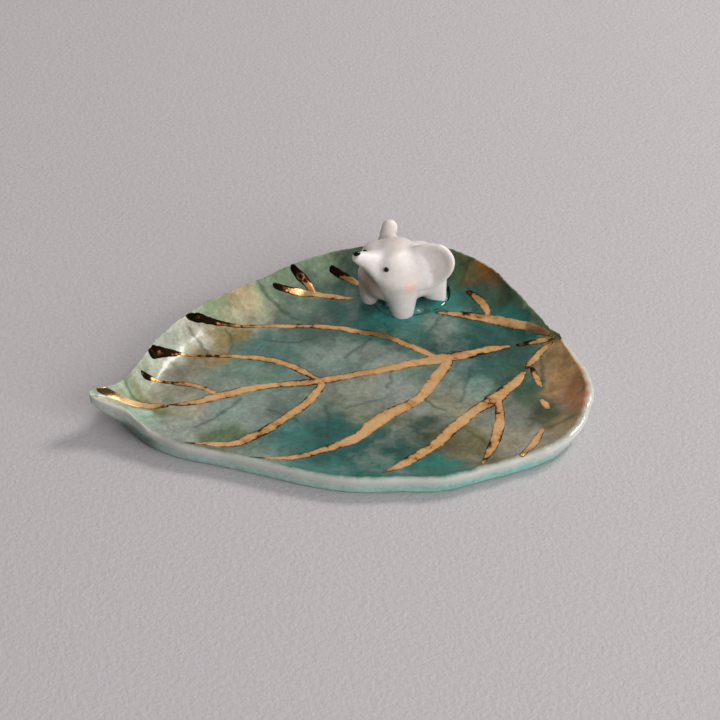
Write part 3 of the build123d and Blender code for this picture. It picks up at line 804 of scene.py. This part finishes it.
# centre, radii, the way the third radius points
eggs = [
    # skull, back, belly and chest
    ((5.0, -0.3, 12.6), (6.6, 5.6, 5.3), upright),
    ((-1.0, 0, 8.6), (7.6, 6.2, 5.7), upright),
    ((0.8, 0, 5.0), (7.2, 6.5, 4.2), upright),
    ((8.0, -0.5, 8.4), (5.2, 5.2, 6.0), upright),
    # the flat plane from the snout to the near ear, and the ear's lower edge
    ((5.4, 4.3, 12.0), (7.2, 5.8, 2.7), near_plane),
    ((4.4, 6.5, 8.0), (2.4, 2.0, 1.3), (0.1, 0.9, 0.42)),
    ((2.6, 6.9, 8.4), (2.4, 2.0, 1.3), (0.1, 0.9, 0.42)),
    ((0.9, 7.3, 8.9), (2.4, 2.0, 1.3), (0.1, 0.9, 0.42)),
    # the far plane, and the two brows
    ((5.6, -4.3, 12.2), (6.4, 4.6, 2.5), far_plane),
    ((8.3, -3.4, 13.6), (3.9, 3.3, 3.6), upright),
    ((7.6, 3.2, 13.4), (4.4, 3.2, 4.0), upright),
    # the far ear's upright finger
    ((2.6, -7.3, 11.6), (2.0, 2.2, 1.5), (0.58, 0.76, 0.1)),
    ((2.1, -7.3, 13.0), (2.0, 2.2, 1.5), (0.58, 0.76, 0.1)),
    ((1.5, -7.4, 14.4), (2.0, 2.2, 1.5), (0.58, 0.76, 0.1)),
    ((1.0, -7.5, 15.6), (2.0, 2.2, 1.5), (0.58, 0.76, 0.1)),
    ((0.8, -7.5, 16.2), (2.0, 2.2, 1.5), (0.58, 0.76, 0.1)),
]
# foot, top, their radii
rolls = [
    # snout, and the ridge that falls from it to the near front foot
    ((9.0, 0.3, 12.6), (17.1, 0, 18.0), 4.1, 1.1),
    ((7.4, 5.1, 2.6), (14.4, 1.5, 15.7), 1.6, 1.2),
    # legs: near front, far front, near back, far back. They reach into the floor
    ((6.5, 5.6, -2.4), (6.0, 3.5, 9.5), 2.2, 5.3),
    ((8.8, -4.9, -2.4), (10.0, -2.6, 10), 2.1, 3.7),
    ((-4.3, 5.6, -2.4), (-3.4, 3.6, 8), 2.2, 4.2),
    ((-4.9, -5.1, -2.4), (-3.6, -3.6, 8), 2.15, 4.2),
]
for centre, radii, facing in eggs:
    soft_mass(clay, centre, radii, facing)
for foot, top, foot_radius, top_radius in rolls:
    taper(clay, foot, top, foot_radius, top_radius)
print("bits of clay:", len(ears) + len(eggs) + len(rolls))

# %% Porcelain of the animal, with a faint blush and painted warm shade
porcelain, tree, shader = new_material("unglazed_porcelain")
place = add(tree, "TexCoord").outputs["Object"]
blush_share, painted_shade_share = [
    add(tree, "Attribute", attribute_name=name).outputs["Fac"] for name in ("blush", "painted_warm_shade")
]
grain = cloud_noise(tree, place, 900.0, detail=4.0)
body = ramp(tree, grain, [(0.3, "#d9d2cd"), (0.7, "#e3ddd8")])
body = mixed(tree, blush_share, body, "#e8a98a")
# the warm brownish mix is painted shade on the chest, brow and top of the head
body = mixed(tree, painted_shade_share, body, "#a38b7b")
tree.links.new(body, shader.inputs["Base Color"])
bumped(tree, shader, grain, 0.25, 0.0001)
set_shader(shader, Roughness=0.42)
set_shader(shader, Subsurface_Weight=0.4, Subsurface_Radius=(1.0, 0.7, 0.55), Subsurface_Scale=0.0026)
print("nodes of the porcelain:", len(tree.nodes))

# %% Melt the bits into one skin and smooth it
voxel = 0.26
first_passes = 5
wet_passes = 60
# where the wet finger stayed off: near ear, its lower edge, far ear, nose. Place, reach in mm
crisp = [
    (figure_matrix @ Vector(place), reach)
    for place, reach in [
        ((-1.7, 9.9, 12.4), 6.0), ((2.0, 8.2, 7.6), 2.6), ((0.2, -8.6, 15.4), 4.5), ((17.2, 0, 18.5), 3.5),
    ]
]


def smooth(bm, verts, passes):
    """Smooths these vertices so many times."""
    for _ in range(passes):
        bmesh.ops.smooth_vert(bm, verts=verts, factor=0.5, use_axis_x=True, use_axis_y=True, use_axis_z=True)


def melted(bm):
    """One closed skin round everything in a bmesh."""
    mesh = bpy.data.meshes.new("clay")
    bm.to_mesh(mesh)
    bm.free()
    clay = bpy.data.objects.new("clay", mesh)
    bpy.context.scene.collection.objects.link(clay)
    remesh = clay.modifiers.new("melt", "REMESH")
    remesh.mode = "VOXEL"
    remesh.voxel_size = voxel
    result = bmesh.new()
    result.from_object(clay, bpy.context.evaluated_depsgraph_get())
    bpy.data.objects.remove(clay)
    return result


clay = melted(clay)
smooth(clay, clay.verts, first_passes)
wiped = [v for v in clay.verts if all((v.co - place).length > reach for place, reach in crisp)]
smooth(clay, wiped, wet_passes)
for v in clay.verts:
    v.co.z = max(v.co.z, floor_height + 0.02)
print("vertices of the animal:", len(clay.verts))

# %% Blush on the cheek and painted warm shade, then finish the animal
clay_nodes = ["torso", "head", "ear_left", "ear_right"]
clay_nodes += ["leg_front_left", "leg_front_right", "leg_back_left", "leg_back_right"]
cheek_at = figure_matrix @ Vector((6.3, 6.8, 8.9))
# painted warm shade where the clay lies in shade: chest, brow, top of the head. Place, reach in mm, share
painted_shade_places = [
    (figure_matrix @ Vector(place), reach, share)
    for place, reach, share in [
        ((11.6, -0.2, 8.6), 6.5, 0.95), ((7.0, -3.0, 17.5), 4.5, 0.40), ((4.5, 1.0, 17.5), 6.0, 0.30),
    ]
]
blush = clay.verts.layers.float.new("blush")
painted_warm_shade = clay.verts.layers.float.new("painted_warm_shade")
# painted shade, warm in tone, fading out from each shaded place
for v in clay.verts:
    v[blush] = 0.8 * eased(1.15 - (v.co - cheek_at).length / 2.7)
    shade_shares = [share * eased(1.1 - (v.co - place).length / reach) for place, reach, share in painted_shade_places]
    v[painted_warm_shade] = max(shade_shares)
skin = BVHTree.FromBMesh(clay)
finish_piece(clay, "animal_body", porcelain, clay_nodes)

# %% Eyes and nose, beads of black underglaze pressed into the skin
black, tree, shader = new_material("black_underglaze_bead")
place = add(tree, "TexCoord").outputs["Object"]
depth = cloud_noise(tree, place, 1500.0)
tree.links.new(ramp(tree, depth, [(0.3, "#0d0b0a"), (0.7, "#1c1816")]), shader.inputs["Base Color"])
set_shader(shader, Roughness=0.16)
eye_radii = (0.62, 0.62, 0.62)
nose_radii = (1.0, 0.85, 0.6)
beads = [
    ("eye_left", (10.9, 4.5, 14.3), eye_radii),
    ("eye_right", (12.8, -2.0, 17.4), eye_radii),
    ("nose", (16.6, 0, 19.4), nose_radii),
]
for name, place, radii in beads:
    bead = bmesh.new()
    spot = figure_matrix.copy()
    spot.translation = skin.find_nearest(figure_matrix @ Vector(place))[0]
    spot = spot @ Matrix.Diagonal((*radii, 1))
    bmesh.ops.create_uvsphere(bead, u_segments=24, v_segments=16, radius=1, matrix=spot)
    finish_piece(bead, name + "_bead", black, [name])

# %% [markdown]
# ## The pool under the feet
# The animal was set in a spoonful of thick turquoise glaze that held it in the kiln. A flat disc would do
# from above, but a pool of glass has a rounded edge and creeps up whatever stands in it. So rings, one
# inside the other, are bridged into a skin, each ring gets its height, and the glass rises near the feet.

# %% Rings of the pool
pool_length, pool_width, pool_depth = 11.4, 9.2, 0.36
ring_count, ring_points = 26, 140
edge_run = 0.42
pool = bmesh.new()
loops = []
for k in range(ring_count):
    share = 1 - 0.94 * k / (ring_count - 1)
    made = bmesh.ops.create_circle(pool, segments=ring_points, radius=share, cap_ends=False)
    for v in made["verts"]:
        wave = 1 - 0.10 * (0.5 + noise.noise(Vector((v.co.x / share * 1.6, v.co.y / share * 1.6, 4))))
        swell = pool_depth * eased((1 - share) / edge_run)
        v.co = Vector((v.co.x * pool_length * wave, v.co.y * pool_width * wave, swell))
    ring = made["verts"]
    loops.append([pool.edges.get(ends) for ends in zip(ring, ring[1:] + ring[:1])])
for lower, upper in zip(loops, loops[1:]):
    bmesh.ops.bridge_loops(pool, edges=lower + upper)
for loop in (loops[-1], loops[0]):
    bmesh.ops.edgeloop_fill(pool, edges=loop)
bmesh.ops.recalc_face_normals(pool, faces=pool.faces)
bmesh.ops.transform(pool, matrix=figure_matrix, verts=pool.verts)
print("faces of the pool:", len(pool.faces))

# %% The glass follows the floor, creeps up the feet, and is greener where it lies deep, with painted shade darkening it close to the feet
pool_green_and_shade = np.array(linear("#0e3f37")[:3])
creep_height, creep_reach = 1.4, 1.0
green_and_shade_share, green_and_shade_reach = 0.75, 2.2
tint_layer = pool.verts.layers.float_color.new("glaze_tint")
# the glaze's material reads these three marks too, and the last stays 0, since no vein lies in the pool
top_mark, out_mark, _ = [pool.verts.layers.float.new(name) for name in mark_names[1:]]
for v in pool.verts:
    deep = (v.co.z - floor_height) / pool_depth
    own = glaze_colour(v.co, 1)
    under = drop(v.co.x, v.co.y)
    if under and under.z > floor_height:
        v.co.z += under.z - floor_height
    clay_gap = skin.find_nearest(Vector((v.co.x, v.co.y, floor_height + 0.5)))[3]
    v.co.z += creep_height * eased(deep / 0.25) * np.exp(-clay_gap / creep_reach)
    # the thick glass's own green, and painted shade: darker green close to the feet and under the body
    green = green_and_shade_share * eased(deep) * np.exp(-clay_gap / green_and_shade_reach)
    v[tint_layer] = (*(own * (1 - green) + pool_green_and_shade * green), 1.0)
    v[top_mark] = 1
    v[out_mark] = 0.3

# the same glass, but thick and mirror smooth, so that it glints where it meets the feet
pool_glass = glaze.copy()
pool_glass.name = "thick_turquoise_glaze"
shader = pool_glass.node_tree.nodes["Principled BSDF"]
for link in list(shader.inputs["Roughness"].links):
    pool_glass.node_tree.links.remove(link)
set_shader(shader, Roughness=0.05, Specular_IOR_Level=0.6)
finish_piece(pool, "pool_of_glaze", pool_glass, ["glaze_pool"])

# %% [markdown]
# ## Table, light and camera
# The photograph was taken on pale matt paper. A window at the right, a little behind the dish, gives the
# highlights, and a bright room in front and to the right fills the shadows. So a small lamp stands for
# the window, a large one that gloss doesn't see stands for the room, and a pale world fills in. The
# camera has the photograph's own place.

# %% Paper table
paper, tree, shader = new_material("matt_paper")
place = add(tree, "TexCoord").outputs["Object"]
fibre = cloud_noise(tree, place, 850.0, detail=4.0, roughness=0.65)
tree.links.new(ramp(tree, fibre, [(0.3, "#beb9bb"), (0.7, "#c4bfc1")]), shader.inputs["Base Color"])
bumped(tree, shader, fibre, 0.5, 0.0005)
set_shader(shader, Roughness=0.9)
table_reach = 3.0
bm = bmesh.new()
bmesh.ops.create_grid(bm, x_segments=1, y_segments=1, size=table_reach)
mesh = bpy.data.meshes.new("table")
bm.to_mesh(mesh)
bm.free()
mesh.materials.append(paper)
table = bpy.data.objects.new("table", mesh)
bpy.context.scene.collection.objects.link(table)
print("table reaches out in metres:", table_reach)


# %% Window light and fill
def area_lamp(name, place, size, watts, colour):
    """A square area lamp that looks at the dish."""
    data = bpy.data.lights.new(name, "AREA")
    data.energy = watts
    data.size = size
    data.color = linear(colour)[:3]
    lamp = bpy.data.objects.new(name, data)
    lamp.location = place
    lamp.rotation_euler = (-Vector(place)).to_track_quat("-Z", "Y").to_euler()
    bpy.context.scene.collection.objects.link(lamp)
    return lamp


area_lamp("window", (0.76, 0.25, 0.75), 0.28, 5.7, "#fffbf6")
room = area_lamp("room", (0.55, -1.0, 0.42), 0.9, 12.0, "#f8f7fa")
room.visible_glossy = False
print("lamps:", [lamp.name for lamp in bpy.data.lights])

# %% World: a fill from the right, and what gloss and gold see
world = bpy.context.scene.world or bpy.data.worlds.new("studio")
bpy.context.scene.world = world
world.use_nodes = True
tree = world.node_tree
background = tree.nodes["Background"]
background.inputs["Color"].default_value = linear("#e4e2e3")
way = add(tree, "TexCoord").outputs["Generated"]
split = add(tree, "SeparateXYZ", {"Vector": way})
tree.links.new(stretched(tree, split.outputs["X"], -1.0, 1.0, 0.24, 0.72), background.inputs["Strength"])

# gloss sees a pale wall behind the table, a dim ceiling, and a dark room behind the camera
back = stretched(tree, split.outputs["Y"], -0.1, 0.5, 0.05, 0.74)
up = stretched(tree, split.outputs["Z"], 0.76, 0.95, 1.0, 0.12)
wall = tree.nodes.new("ShaderNodeBackground")
wall.inputs["Color"].default_value = linear("#f2efee")
tree.links.new(arithmetic(tree, "MULTIPLY", back, up), wall.inputs["Strength"])
gloss_ray = add(tree, "LightPath").outputs["Is Glossy Ray"]
both = add(tree, "MixShader", {"Fac": gloss_ray, 1: background.outputs[0], 2: wall.outputs[0]})
tree.links.new(both.outputs[0], tree.nodes["World Output"].inputs["Surface"])
print("nodes of the world:", len(tree.nodes))

# %% Camera at the photograph's angle
camera_place = Vector((-93.7, -372.65, 287.15)) * mm
camera_aim = Vector((9.04, 9.0, 0)) * mm
camera_data = bpy.data.cameras.new("camera")
camera_data.lens = 102.08
camera = bpy.data.objects.new("camera", camera_data)
camera.location = camera_place
camera.rotation_euler = (camera_aim - camera_place).to_track_quat("-Z", "Y").to_euler()
bpy.context.scene.collection.objects.link(camera)
bpy.context.scene.camera = camera
bpy.context.scene.view_settings.view_transform = "Standard"
print("camera's distance in mm:", round((camera_aim - camera_place).length / mm))
